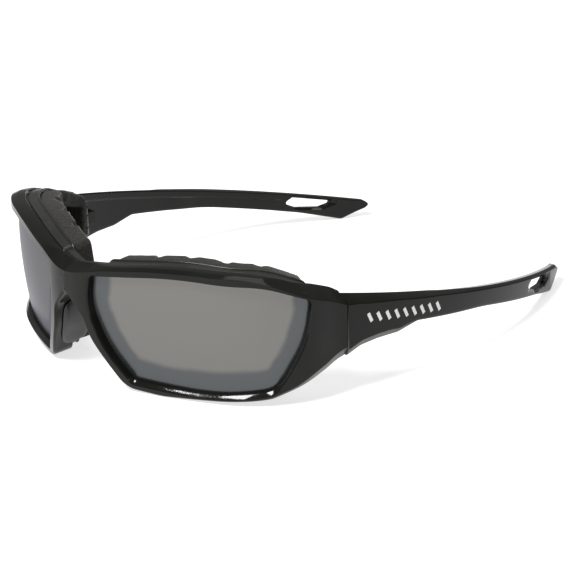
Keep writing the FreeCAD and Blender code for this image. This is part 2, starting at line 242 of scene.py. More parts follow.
@dataclass(frozen=True)
class PlanCurve:
    """Plan of the front: three arcs seen from above. Depth is measured inwards from them.

    The outline's plane opens out as a fan from one upright line behind the lens.
    """

    half_width: float = 70.2
    bridge_y: float = -8.2
    bridge_angle: float = 13.0
    lens_radius: float = 200.0
    bend_radius: float = 38.0
    temple_radius: float = 167.2
    temple_widest_y: float = 73.0
    fan_x: float = 10.0035
    fan_y: float = 64.0
    fan_angle: float = 29.5
    fan_reach: float = 66.248
    rake: float = 5.5
    rake_z: float = 35.0
    bridge_soft: float = 8.0
    crown: float = 1.9
    crown_middle: float = 20.0
    crown_half: float = 21.0
    crown_fade: tuple[float, float] = (34.0, 54.0)
    face_depth: float = 2.1
    rear_fade: tuple[float, float] = (4.25, 6.2)

    @property
    def lens_centre(self) -> Vector:
        """Centre of the gentle arc over the lens."""
        turn = math.radians(self.bridge_angle)
        inwards = Vector((-math.sin(turn), math.cos(turn)))
        return inwards * self.lens_radius + Vector((0.0, self.bridge_y))

    @property
    def temple_centre(self) -> Vector:
        """Centre of the long arc of the temple."""
        return Vector((self.half_width - self.temple_radius, self.temple_widest_y))

    @property
    def bend_centre(self) -> Vector:
        """Centre of the tight arc round the side."""
        a, b = self.lens_centre, self.temple_centre
        reach_a = self.lens_radius - self.bend_radius
        reach_b = self.temple_radius - self.bend_radius
        line = b - a
        along = (reach_a ** 2 - reach_b ** 2 + line.length_squared) / (2.0 * line.length)
        across = math.sqrt(reach_a ** 2 - along ** 2)
        unit = line.normalized()
        return a + unit * along + Vector((-unit.y, unit.x)) * across

    def arcs(self) -> tuple[tuple[Vector, float], ...]:
        """Centre and radius of the three arcs, lens first."""
        return (
            (self.lens_centre, self.lens_radius),
            (self.bend_centre, self.bend_radius),
            (self.temple_centre, self.temple_radius),
        )

    def crowned(self, across: float, up: float, depth: float) -> float:
        """Depth after the lens and the rim's face are crowned from top to bottom."""
        share = 1.0 - min(1.0, abs(up - self.crown_middle) / self.crown_half) ** 2
        rise = self.crown * share * (1.0 - smooth(*self.crown_fade, across))
        if depth <= self.face_depth:
            return depth - rise * (1.0 - 0.25 * max(depth, 0.0) / self.face_depth)
        return depth - rise * 0.75 * (1.0 - smooth(*self.rear_fade, depth))

    def point(self, across: float, up: float, depth: float) -> Vector:
        """Place of an outline point on the left half of the raked front.

        Args:
            across: place across the fan's plane, in millimetres.
            up: height in the upright front, in millimetres.
            depth: distance behind the plan curve, in millimetres.

        Returns:
            The point in metres, in the row frame.
        """
        depth = self.crowned(across, up, depth)
        turn = math.radians(self.fan_angle)
        way = Vector((math.sin(turn), -math.cos(turn))) * self.fan_reach
        way += Vector((math.cos(turn), math.sin(turn))) * across
        start = Vector((self.fan_x, self.fan_y))
        (lens, lens_r), (bend, bend_r), (temple, temple_r) = ARCS
        flat = ray_circle(start, way, bend, bend_r - depth)
        heading = math.atan2(flat.x - bend.x, bend.y - flat.y)
        if heading < LENS_TO_BEND:
            flat = ray_circle(start, way, lens, lens_r - depth)
        elif heading > BEND_TO_TEMPLE:
            flat = ray_circle(start, way, temple, temple_r - depth)
        return self.leant(Vector((flat.x, flat.y, up)))

    def leant(self, upright: Vector) -> Vector:
        """Rakes an upright point, rounds the ridge of the bridge and moves it to the row frame."""
        turn = math.radians(self.rake)
        x, y, z = upright.x, upright.y, upright.z - self.rake_z
        soft = self.bridge_soft
        if abs(x) < soft:
            round_off = (x * x + soft ** 2) / (2.0 * soft) - abs(x)
            y += round_off * math.tan(math.radians(self.bridge_angle))
        leaning = Vector((
            x,
            y * math.cos(turn) - z * math.sin(turn),
            self.rake_z + y * math.sin(turn) + z * math.cos(turn),
        ))
        return (leaning + SHIFT) * MM


def ray_circle(start: Vector, way: Vector, centre: Vector, radius: float) -> Vector:
    """Point where a flat ray that starts inside a circle leaves it."""
    gap = start - centre
    a = way.length_squared
    b = gap.dot(way)
    c = gap.length_squared - radius * radius
    return start + way * ((-b + math.sqrt(b * b - a * c)) / a)


PLAN = PlanCurve()
ARCS = PLAN.arcs()


def heading(start: Vector, end: Vector) -> float:
    """Angle from straight ahead of the line from start to end."""
    return math.atan2(end.x - start.x, start.y - end.y)


LENS_TO_BEND = heading(ARCS[0][0], ARCS[1][0])
BEND_TO_TEMPLE = heading(ARCS[2][0], ARCS[1][0])
OPENING = Loop(OPENING_CORNERS)
OUTLINE = Loop(FRAME_CORNERS)


def opening_ring(by: float, pitch: float = 0.9) -> Path:
    """The opening's outline moved outwards; the number of points doesn't depend on how far."""
    return traced(grown(OPENING_CORNERS, by), pitch, guide=OPENING_CORNERS)


def deep(point: Vector, depth: float) -> Vector:
    """Outline point with its depth."""
    return Vector((point.x, point.y, depth))


def on_front(path: Sequence[Vector]) -> Path:
    """Places outline points with their depths on the left half of the front."""
    return [PLAN.point(*p) for p in path]


def in_frame(x: float, y: float, z: float) -> Vector:
    """Turns a place on the unraked temple, in millimetres, into metres in the row frame."""
    return (Vector((x, y, z)) + SHIFT) * MM


def softened(path: Sequence[Vector], radii: Sequence[float], steps: int = 4) -> Path:
    """Rounds the corners of a closed run of points.

    Args:
        path: corners in order.
        radii: how far from each corner its rounding starts, or 0 to keep it sharp.
        steps: pieces in each rounding.

    Returns:
        The run with its corners rounded; the number of points depends only on radii and steps.
    """
    out: Path = []
    for i, here in enumerate(path):
        if radii[i] <= 0.0:
            out.append(here)
            continue
        before, after = path[i - 1] - here, path[(i + 1) % len(path)] - here
        start = here + before * min(0.45, radii[i] / max(before.length, 1e-6))
        end = here + after * min(0.45, radii[i] / max(after.length, 1e-6))
        for k in range(steps + 1):
            t = k / steps
            out.append(start * (1 - t) ** 2 + here * (2 * t * (1 - t)) + end * t * t)
    return out


# ------------------------------------------------------------------ mesh helpers


def grid_mesh(
    name: str,
    rows: Sequence[Path],
    around: bool,
    side: Side = Side.LEFT,
    ends: bool = False,
    rub: Callable[[int, int], float] | None = None,
) -> Mesh:
    """Skin over rows of points; each row is a closed section.

    Args:
        name: name of the mesh.
        rows: sections with the same number of points, in metres.
        around: whether the last row joins the first.
        side: the right side is the mirror image of the left.
        ends: whether the first and last section are closed with a face.
        rub: how much painted highlight a point takes, by its row and its place in the row.

    Returns:
        A mesh whose faces point outwards, with a painted-highlight attribute where it is asked for.
    """
    work = bmesh.new()
    # Per-point share of a painted highlight, read by the finish.
    layer = work.verts.layers.float.new("rub") if rub is not None else None
    made = [[work.verts.new(side.mirrored(p)) for p in row] for row in rows]
    if layer is not None:
        for i, row in enumerate(made):
            for j, vertex in enumerate(row):
                vertex[layer] = rub(i, j)
    pairs = list(zip(made, made[1:] + made[:1])) if around else list(zip(made, made[1:]))
    for a, b in pairs:
        for i in range(len(a)):
            j = (i + 1) % len(a)
            work.faces.new((a[i], a[j], b[j], b[i]))
    if ends:
        work.faces.new(made[0])
        work.faces.new(made[-1])
    return finished(work, name)


def finished(work: bmesh.types.BMesh, name: str, crease: float = 38.0) -> Mesh:
    """Merges doubles, turns the faces outwards and shades them smooth up to a crease angle."""
    bmesh.ops.remove_doubles(work, verts=work.verts, dist=2e-6)
    bmesh.ops.dissolve_degenerate(work, edges=work.edges, dist=1e-6)
    bmesh.ops.recalc_face_normals(work, faces=work.faces)
    limit = math.radians(crease)
    for face in work.faces:
        face.smooth = True
    for edge in work.edges:
        if len(edge.link_faces) == 2 and edge.calc_face_angle(0.0) > limit:
            edge.smooth = False
    mesh = bpy.data.meshes.new(name)
    work.to_mesh(mesh)
    work.free()
    return mesh


def cleaned(mesh: Mesh, name: str, crease: float = 38.0) -> Mesh:
    """Finishes a mesh that a modifier or a node tree made."""
    work = bmesh.new()
    work.from_mesh(mesh)
    return finished(work, name, crease)


def linked(name: str, data: bpy.types.ID) -> bpy.types.Object:
    """Adds a mesh, a camera or a lamp to the scene as an object at the origin."""
    obj = bpy.data.objects.new(name, data)
    bpy.context.scene.collection.objects.link(obj)
    return obj


def place(
    name: str,
    mesh: Mesh,
    body: str,
    slot: Slot,
    material: Material,
    stands_for: Sequence[str] = (),
) -> bpy.types.Object:
    """Adds a finished piece, rides it on its body and reports it.

    Args:
        name: name of the piece.
        mesh: its mesh, in the row frame.
        body: CAD body that it moves with.
        slot: not used.
        material: its finish.
        stands_for: CAD nodes that it replaces.

    Returns:
        The object.
    """
    mesh.materials.clear()
    mesh.materials.append(material)
    obj = linked(name, mesh)
    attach(obj, body)
    if stands_for:
        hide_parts(*stands_for)
    log.info("%s: %d faces on %s", name, len(mesh.polygons), body)
    return obj


def applied(obj: bpy.types.Object, name: str) -> Mesh:
    """Plain mesh of an object with its modifiers applied; the object is removed."""
    bpy.context.view_layer.update()
    graph = bpy.context.evaluated_depsgraph_get()
    mesh = bpy.data.meshes.new_from_object(obj.evaluated_get(graph), depsgraph=graph)
    mesh.name = name
    bpy.data.objects.remove(obj)
    return mesh


# ------------------------------------------------------------------ finishes


def added(tree: Tree, kind: str, **inputs: object) -> bpy.types.Node:
    """Adds a node; inputs are sockets to join or plain values."""
    node = tree.nodes.new(kind)
    for key, value in inputs.items():
        socket = node.inputs[key.replace("_", " ")]
        if isinstance(value, Socket):
            tree.links.new(value, socket)
        else:
            socket.default_value = value
    return node


class ShaderKit:
    """Short ways to add and join shader nodes in one material."""

    def __init__(self, name: str) -> None:
        """Starts a material with a Principled BSDF and Object coordinates."""
        self.material = bpy.data.materials.new(name)
        self.material.use_nodes = True
        self.tree = self.material.node_tree
        self.nodes, self.links = self.tree.nodes, self.tree.links
        self.shader = self.nodes["Principled BSDF"]
        self.place = self.nodes.new("ShaderNodeTexCoord").outputs["Object"]

    def group(self, tree: Tree, **values: float) -> bpy.types.Node:
        """Adds a node group and sets its inputs by name."""
        node = self.nodes.new("ShaderNodeGroup")
        node.node_tree = tree
        self.links.new(self.place, node.inputs["Place"])
        for key, value in values.items():
            node.inputs[key.replace("_", " ").capitalize()].default_value = value
        return node

    def mix(self, share: Socket, low: Sequence[float], high: Sequence[float]) -> Socket:
        """Colour between two, by a mask."""
        node = self.nodes.new("ShaderNodeMix")
        node.data_type = "RGBA"
        self.links.new(share, node.inputs[0])
        node.inputs[6].default_value = (*low, 1.0)
        node.inputs[7].default_value = (*high, 1.0)
        return node.outputs[2]

    def attribute(self, name: str) -> Socket:
        """Number that the mesh keeps at each point."""
        node = self.nodes.new("ShaderNodeAttribute")
        node.attribute_name = name
        return node.outputs["Fac"]

    def summed(self, value: Socket, weight: float, other: Socket) -> Socket:
        """A value times its weight, plus another value."""
        node = self.nodes.new("ShaderNodeMath")
        node.operation = "MULTIPLY_ADD"
        node.inputs[1].default_value = weight
        self.links.new(value, node.inputs[0])
        self.links.new(other, node.inputs[2])
        return node.outputs["Value"]

    def roughen(self, mask: Socket, smoothest: float, dullest: float) -> None:
        """Feeds the shader a roughness between two values, by a mask."""
        node = added(self.tree, "ShaderNodeMapRange", Value=mask, To_Min=smoothest, To_Max=dullest)
        self.links.new(node.outputs["Result"], self.shader.inputs["Roughness"])

    def bump(self, height: Socket, strength: float, distance: float) -> None:
        """Feeds a height to the shader's normal."""
        node = added(
            self.tree, "ShaderNodeBump", Height=height, Strength=strength, Distance=distance
        )
        self.links.new(node.outputs["Normal"], self.shader.inputs["Normal"])

    def set(self, **values: float) -> None:
        """Sets the shader's own sockets that are the same all over."""
        names = {
            "specular": "Specular IOR Level", "metallic": "Metallic", "roughness": "Roughness",
            "sheen": "Sheen Weight", "sheen_roughness": "Sheen Roughness",
        }
        for key, value in values.items():
            self.shader.inputs[names[key]].default_value = value


def new_group(name: str, inputs: Sequence[tuple[str, float]], outputs: Sequence[str]) -> Tree:
    """Starts a shader node group that reads a place and some numbers and puts out masks."""
    tree = bpy.data.node_groups.new(name, "ShaderNodeTree")
    tree.interface.new_socket("Place", in_out="INPUT", socket_type="NodeSocketVector")
    for label, value in inputs:
        socket = tree.interface.new_socket(label, in_out="INPUT", socket_type="NodeSocketFloat")
        socket.default_value = value
    for label in outputs:
        tree.interface.new_socket(label, in_out="OUTPUT", socket_type="NodeSocketFloat")
    tree.nodes.new("NodeGroupInput")
    tree.nodes.new("NodeGroupOutput")
    return tree


def ranged(tree: Tree, value: Socket, low: float, high: float) -> Socket:
    """Smooth 0 to 1 between two values."""
    node = added(tree, "ShaderNodeMapRange", Value=value, From_Min=low, From_Max=high)
    node.interpolation_type = "SMOOTHSTEP"
    return node.outputs["Result"]


def moulded_group() -> Tree:
    """Faint flow marks, handling haze and fine grain of a moulded surface."""
    inputs = (("Grain scale", 900.0), ("Haze scale", 60.0))
    tree = new_group("moulded_surface", inputs, ("Grain", "Haze"))
    given, end = tree.nodes["Group Input"].outputs, tree.nodes["Group Output"]
    for label, low, high in (("Grain", 0.35, 0.65), ("Haze", 0.42, 0.68)):
        scale = given[label + " scale"]
        noise = added(tree, "ShaderNodeTexNoise", Vector=given["Place"], Scale=scale, Detail=3.0)
        tree.links.new(ranged(tree, noise.outputs["Fac"], low, high), end.inputs[label])
    return tree


def cell_group() -> Tree:
    """Cells of foam or grains of tape, with a finer crumb between them."""
    inputs = (("Cell scale", 1400.0), ("Crumb scale", 3500.0))
    tree = new_group("cells", inputs, ("Cells", "Crumb"))
    given, end = tree.nodes["Group Input"].outputs, tree.nodes["Group Output"]
    place_in = given["Place"]
    cells = added(tree, "ShaderNodeTexVoronoi", Vector=place_in, Scale=given["Cell scale"])
    tree.links.new(ranged(tree, cells.outputs["Distance"], 0.1, 0.75), end.inputs["Cells"])
    crumb = added(tree, "ShaderNodeTexNoise", Vector=place_in, Scale=given["Crumb scale"])
    tree.links.new(ranged(tree, crumb.outputs["Fac"], 0.3, 0.7), end.inputs["Crumb"])
    return tree


@dataclass(frozen=True)
class Moulding:
    """Moulded plastic or rubber: dark, with faint haze and grain, and an optional painted highlight
    on its lower chamfers.
    """

    name: str
    dark: Colour
    light: Colour
    smoothest: float
    dullest: float
    specular: float = 0.5
    grain: float = 0.05
    grain_depth: float = 0.0001
    metallic: float = 0.0
    # Lighter colour painted on lower chamfers as a painted highlight of the floor's light.
    rubbed: Colour | None = None

    def material(self, groups: "Groups") -> Material:
        """Builds the material."""
        kit = ShaderKit(self.name)
        marks = kit.group(groups.moulded)
        haze = marks.outputs["Haze"]
        colour = kit.mix(haze, self.dark, self.light)
        # Painted highlight: lighter grey mixed in on the lower chamfers by a per-point attribute.
        if self.rubbed:
            over = kit.mix(kit.attribute("rub"), self.dark, self.rubbed)
            kit.links.new(colour, over.node.inputs[6])
            colour = over
        kit.links.new(colour, kit.shader.inputs["Base Color"])
        kit.roughen(haze, self.smoothest, self.dullest)
        kit.bump(marks.outputs["Grain"], self.grain, self.grain_depth)
        kit.set(specular=self.specular, metallic=self.metallic)
        return kit.material


@dataclass(frozen=True)
class Mirror:
    """Silver mirror over a smoke lens; the darker, bluer band at its ends and lower edge is a
    painted reflection of the rim's dark wall.
    """

    name: str
    middle: Colour
    border: Colour
    roughness: float
    metallic: float
    border_width: tuple[float, float] = (6.0, 8.6)
    haze_roughness: float = 0.015
    tint: Colour = (0.42, 0.42, 0.46)

    def material(self, groups: "Groups") -> Material:
        """Builds the material; the mesh holds a border attribute in millimetres."""
        kit = ShaderKit(self.name)
        haze = kit.group(groups.moulded, haze_scale=90.0).outputs["Haze"]
        # Painted reflection: the border colour darkens the lens near its ends and lower edge, where
        # the rim's dark wall is mirrored.
        wave = kit.summed(haze, 0.9, kit.attribute("border"))
        share = ranged(kit.tree, wave, *self.border_width)
        colour = kit.mix(share, self.border, self.middle)
        kit.links.new(colour, kit.shader.inputs["Base Color"])
        kit.roughen(haze, self.roughness, self.roughness + self.haze_roughness)
        kit.set(metallic=self.metallic, specular=0.2)
        kit.shader.inputs["Specular Tint"].default_value = (*self.tint, 1.0)
        return kit.material


@dataclass(frozen=True)
class Cellular:
    """Closed-cell foam: dull, pitted and slightly brown, with painted shade darkening the pits."""

    name: str
    pit: Colour
    skin: Colour
    cell_scale: float
    depth: float
    roughness: float = 0.92

    def material(self, groups: "Groups") -> Material:
        """Builds the material."""
        kit = ShaderKit(self.name)
        marks = kit.group(
            groups.cells, cell_scale=self.cell_scale, crumb_scale=self.cell_scale * 2.5
        )
        cells = marks.outputs["Cells"]
        # Painted shade: the colour darkens towards the middle of each cell, where the bump sinks
        # in.
        kit.links.new(kit.mix(cells, self.pit, self.skin), kit.shader.inputs["Base Color"])
        kit.bump(kit.summed(marks.outputs["Crumb"], 0.35, cells), 0.8, self.depth)
        kit.set(roughness=self.roughness, specular=0.25, sheen=0.15, sheen_roughness=0.5)
        return kit.material


@dataclass
class Groups:
    """Shader node groups that the finishes share."""

    moulded: Tree = field(default_factory=moulded_group)
    cells: Tree = field(default_factory=cell_group)


class Finishes:
    """Every finish of the glasses, built once."""

    def __init__(self) -> None:
        """Builds the materials."""
        groups = Groups()
        black = ((0.0052, 0.0056, 0.0046), (0.0072, 0.0077, 0.0062))
        # Lighter grey for the painted highlight on the lower chamfers.
        chamfer_sheen_grey = (0.105, 0.105, 0.097)
        self.frame = Moulding(
            "gloss_black_front", *black, 0.06, 0.10, specular=0.2, rubbed=chamfer_sheen_grey
        ).material(groups)
        self.temple = Moulding(
            "gloss_black_temple", *black, 0.07, 0.11, specular=0.2, rubbed=chamfer_sheen_grey
        ).material(groups)
        self.carrier = Moulding(
            "satin_black_carrier", (0.010, 0.010, 0.009), (0.017, 0.017, 0.015), 0.32, 0.45,
            grain=0.15,
        ).material(groups)
        self.pad = Moulding(
            "soft_black_pad", (0.010, 0.0105, 0.011), (0.017, 0.018, 0.019), 0.38, 0.5, grain=0.2
        ).material(groups)
        self.steel = Moulding(
            "blackened_steel", (0.09, 0.09, 0.088), (0.16, 0.158, 0.15), 0.28, 0.42, metallic=1.0
        ).material(groups)
        self.print = Moulding(
            "white_pad_print", (0.74, 0.74, 0.73), (0.82, 0.82, 0.81), 0.35, 0.45, grain=0.1
        ).material(groups)
        # Second colour: painted reflection of the rim's dark wall near the lens's ends and lower
        # edge.
        self.lens = Mirror(
            "silver_smoke_lens", (0.178, 0.173, 0.162), (0.096, 0.101, 0.105), 0.24, 0.88
        ).material(groups)
        # The first colour of foam and tape is the painted shade in their pits.
        self.foam = Cellular(
            "closed_cell_foam", (0.007, 0.0066, 0.005), (0.019, 0.0175, 0.0135), 1100.0, 0.00012
        ).material(groups)
        self.tape = Cellular(
            "adhesive_tape", (0.012, 0.012, 0.011), (0.02, 0.02, 0.019), 2600.0, 0.0001, 0.7
        ).material(groups)


# ------------------------------------------------------------------ front


def lens_rise(across: float) -> float:
    """How much nearer the front face the lens sits towards its outer end, in millimetres."""
    return 1.15 * smooth(26.0, 50.0, across)


@dataclass
class Sided:
    """Anything that is made once for each side."""

    finishes: Finishes
    side: Side

    def named(self, name: str) -> str:
        """Name of this side's piece."""
        return self.side.prefix + name


@dataclass
class FrontFrame:
    """One-piece front: both rims, the bridge and the endpieces up to the seams."""

    finishes: Finishes
    thickness: float = 6.2
    lens_front: float = 2.2
    lens_rear: float = 4.28
    groove: float = 1.38
    inner_cut: float = 0.35
    sill_cut: float = 1.25
    seam_wall: float = 4.1
    crease_round: float = 1.1
    across_steps: int = 12
    rear_steps: int = 9
    inner_pitch: float = 0.5
    outer_pitch: float = 1.25
    rear_step: float = 1.6
    rear_step_width: float = 1.25
    top_inset: Table = (
        (-60.0, 2.2), (-48.0, 1.9), (-30.0, 0.55), (14.0, 0.55), (46.0, 2.4), (60.0, 2.8),
    )
    top_fall: Table = ((0.3, 1.6), (2.0, 5.6))
    low_inset: Table = (
        (-60.0, 0.9), (-40.0, 0.8), (-30.0, 0.6), (14.0, 0.6), (28.0, 1.2), (42.0, 2.5),
        (54.0, 2.9), (60.0, 2.6),
    )
    low_fall: Table = ((0.5, 0.45), (1.2, 1.05), (2.9, 1.75))
    lens_play: float = 0.02
    thinning: tuple[float, float] = (52.0, 58.5)
    step_fade: tuple[float, float] = (30.0, 44.0)
    # Where the painted highlight on the endpiece's lower chamfer comes in.
    rub_rise: tuple[float, float] = (24.0, 40.0)

    def stations(self) -> list[tuple[Vector, Vector, Vector, Vector]]:
        """Matching points and outward normals on the opening and on the edge."""
        keys = [(OPENING.nearest(a, b), OUTLINE.nearest(c, d)) for a, b, c, d in SPANS]
        found = []
        for i, (inner, outer) in enumerate(keys):
            next_inner, next_outer = keys[(i + 1) % len(keys)]
            run_in = (next_inner - inner) % OPENING.length
            run_out = (next_outer - outer) % OUTLINE.length
            longest = max(run_in / self.inner_pitch, run_out / self.outer_pitch)
            steps = max(2, math.ceil(longest))
            for k in range(steps):
                s, t = inner + run_in * k / steps, outer + run_out * k / steps
                found.append(
                    (OPENING.at(s), OPENING.outwards(s), OUTLINE.at(t), OUTLINE.outwards(t))
                )
        return found

    def section(self, inner: Vector, out_in: Vector, outer: Vector, out: Vector) -> Path:
        """One closed section through the rim, in metres."""
        upper = out.y > 0.0
        inset = table(self.top_inset if upper else self.low_inset, outer.x)
        fall = table(self.top_fall if upper else self.low_fall, inset)
        thinned = (self.thickness - self.seam_wall) * smooth(*self.thinning, outer.x)
        wall = self.thickness - thinned
        if upper:
            fall = min(fall, wall - 0.5)
        crease = outer - out * inset
        groove = inner + out_in * self.groove
        rise = lens_rise(inner.x)
        lens_front, lens_rear = self.lens_front - rise, self.lens_rear - rise
        path = [
            deep(inner, self.thickness), deep(inner, lens_rear), deep(groove, lens_rear),
            deep(groove, lens_front - self.lens_play), deep(inner, lens_front - self.lens_play),
        ]
        cut = self.inner_cut + (self.sill_cut - self.inner_cut) * smooth(0.75, 0.95, -out_in.y)
        start = inner + out_in * cut
        path += [deep(inner, cut), deep(start, 0.0)]
        radii = [0.35, 0.0, 0.0, 0.0, 0.0, cut * 0.3, cut * 0.3]
        for k in range(1, self.across_steps):
            path.append(deep(start.lerp(crease, k / self.across_steps), 0.0))
            radii.append(0.0)
        ledge = outer - out * self.rear_step_width
        on_brow = smooth(0.3, 0.8, out.y) * (1.0 - smooth(*self.step_fade, outer.x))
        edge_wall = wall - self.rear_step * on_brow
        path += [
            deep(crease, 0.0), deep(outer, min(fall, edge_wall - 0.5)), deep(outer, edge_wall),
            deep(ledge, edge_wall), deep(ledge, wall),
        ]
        radii += [self.crease_round if upper else 0.4, 0.35, 0.4, 0.15, 0.15]
        for k in range(1, self.rear_steps):
            share = k / self.rear_steps
            depth = wall + thinned * smooth(0.0, 0.35, share)
            path.append(deep(ledge.lerp(inner, share), depth))
            radii.append(0.0)
        return on_front(softened(path, radii))

    def build(self) -> None:
        """Builds both halves as one mesh and dresses it."""
        spots = self.stations()
        # The section holds 3 rounded corners of 5 points, 4 sharp ones and the face's points
        # before the 5 points of the crease; the chamfer starts at the crease's middle point.
        low_edge = 3 * 5 + 4 + self.across_steps - 1 + 2

        def rub(row: int, place_in_row: int) -> float:
            """Share of the painted highlight on the lower chamfer of the endpiece."""
            _, _, outer, out = spots[row]
            if not low_edge <= place_in_row <= low_edge + 5:
                return 0.0
            return smooth(*self.rub_rise, outer.x) * smooth(0.2, 0.6, -out.y)

        half = grid_mesh("half", [self.section(*s) for s in spots], True, rub=rub)
        work = bmesh.new()
        work.from_mesh(half)
        seam = (SEAM_Y + SHIFT.y) * MM
        near = 1e-5
        for place_on, normal, past in (
            ((0, 0, 0), (1, 0, 0), "clear_inner"), ((0, seam, 0), (0, 1, 0), "clear_outer")
        ):
            everything = [*work.verts, *work.edges, *work.faces]
            bmesh.ops.bisect_plane(
                work, geom=everything, plane_co=place_on, plane_no=normal, dist=1e-7, **{past: True}
            )
        rim = [
            edge for edge in work.edges
            if edge.is_boundary and all(abs(v.co.y - seam) < near for v in edge.verts)
        ]
        bmesh.ops.holes_fill(work, edges=rim, sides=0)
        for vertex in work.verts:
            if abs(vertex.co.x) < near:
                vertex.co.x = 0.0
        copy = bmesh.ops.duplicate(work, geom=[*work.verts, *work.edges, *work.faces])["geom"]
        for vertex in copy:
            if isinstance(vertex, bmesh.types.BMVert):
                vertex.co.x = -vertex.co.x
        mesh = finished(work, "front_rims", 30.0)
        place("front_rims", mesh, "front", Slot.FRAME, self.finishes.frame, ["front_frame"])


@dataclass
class Lens(Sided):
    """Curved shell held in the rim's groove."""

    front_depth: float = 2.22
    thickness: float = 2.0
    bite: float = 1.3
    rings: int = 14
    marks: int = 160
    pole: tuple[float, float] = (0.0, 20.0)
    play: float = 0.02

    def build(self) -> None:
        """Builds the shell with its border attribute and dresses it."""
        edge = opening_ring(self.bite)
        spots = [OPENING.length * k / self.marks for k in range(self.marks)]
        # Edge points whose distance sets the painted reflection band.
        low_edge = [OPENING.at(spot) for spot in spots if OPENING.outwards(spot).y < 0.6]
        middle = Vector(self.pole)
        work = bmesh.new()
        layer = work.verts.layers.float.new("border")

        def vertex(flat: Vector, depth: float) -> bmesh.types.BMVert:
            """Adds one vertex and notes how far it is from the ends and the lower edge."""
            spot = PLAN.point(flat.x, flat.y, depth - lens_rise(flat.x))
            made = work.verts.new(self.side.mirrored(spot))
            made[layer] = min((flat - q).length for q in low_edge)
            return made

        shells = []
        for depth in (self.front_depth, self.front_depth + self.thickness - self.play):
            pole = vertex(middle, depth)
            rings = [
                [vertex(middle.lerp(p, (k + 1) / self.rings), depth) for p in edge]
                for k in range(self.rings)
            ]
            shells.append((pole, rings))
        count = len(edge)
        for pole, rings in shells:
            for i in range(count):
                j = (i + 1) % count
                work.faces.new((pole, rings[0][i], rings[0][j]))
                for a, b in zip(rings, rings[1:]):
                    work.faces.new((a[i], b[i], b[j], a[j]))
        front_edge, rear_edge = shells[0][1][-1], shells[1][1][-1]
        for i in range(count):
            j = (i + 1) % count
            work.faces.new((front_edge[i], rear_edge[i], rear_edge[j], front_edge[j]))
        name = self.named("lens")
        mesh = finished(work, name)
        place(name + "_shell", mesh, "front", Slot.LENS, self.finishes.lens, [name])


@dataclass
class CarrierLip(Sided):
    """Thin wall of the carrier that shows behind the rim, all round the opening."""

    near: float = 5.35
    far: float = 8.9
    inside: float = 0.9
    outside: float = 1.75

    def build(self) -> None:
        """Builds the wall and dresses it."""
        rows = []
        for a, b in zip(opening_ring(self.inside), opening_ring(self.outside)):
            path = [deep(a, self.near), deep(b, self.near), deep(b, self.far), deep(a, self.far)]
            rows.append(on_front(softened(path, [0.2, 0.3, 0.4, 0.2], 3)))
        name = self.named("carrier_lip")
        mesh = grid_mesh(name, rows, True, self.side)
        place(name, mesh, "front", Slot.CARRIER, self.finishes.carrier)


@dataclass
class FoamSeal(Sided):
    """Foam ring behind the lens opening, with air channels across its rear face."""

    near: float = 9.12
    far: float = 15.45
    outside: float = 1.1
    inside: float = 2.9
    channel_depth: float = 1.3
    channel_half: float = 1.7
    channels: tuple[float, ...] = (-21.1, -7.0, 7.7, 21.1)
    puff: float = 0.12
    bulge: float = 0.25

    def rear(self, across: float, mainly_up: float) -> float:
        """Depth of the rear face, cut by the air channels and gently puffed between them."""
        depth = self.far - self.puff * (0.5 + 0.5 * math.cos(across * 0.9))
        deepest, edge = self.channel_half * 0.4, self.channel_half * 1.5
        cut = max(1.0 - smooth(deepest, edge, abs(across - centre)) for centre in self.channels)
        return depth - self.channel_depth * cut * smooth(0.4, 0.75, abs(mainly_up))

    def build(self) -> None:
        """Builds the ring and dresses it."""
        rows = []
        for a, b in zip(opening_ring(-self.inside, 0.8), opening_ring(self.outside, 0.8)):
            out = (b - a).normalized()
            far = self.rear(b.x, out.y)
            mid = (self.near + far) / 2.0
            path = [
                deep(a, self.near), deep(b, self.near), deep(b + out * self.bulge, mid),
                deep(b, far), deep(a, far), deep(a - out * self.bulge, mid),
            ]
            rows.append(on_front(softened(path, [0.3, 0.3, 1.4, 1.3, 1.1, 1.2], 5)))
        name = self.named("foam_seal")
        mesh = grid_mesh(name, rows, True, self.side)
        obj = place(name + "_ring", mesh, "front", Slot.FOAM, self.finishes.foam, [name])


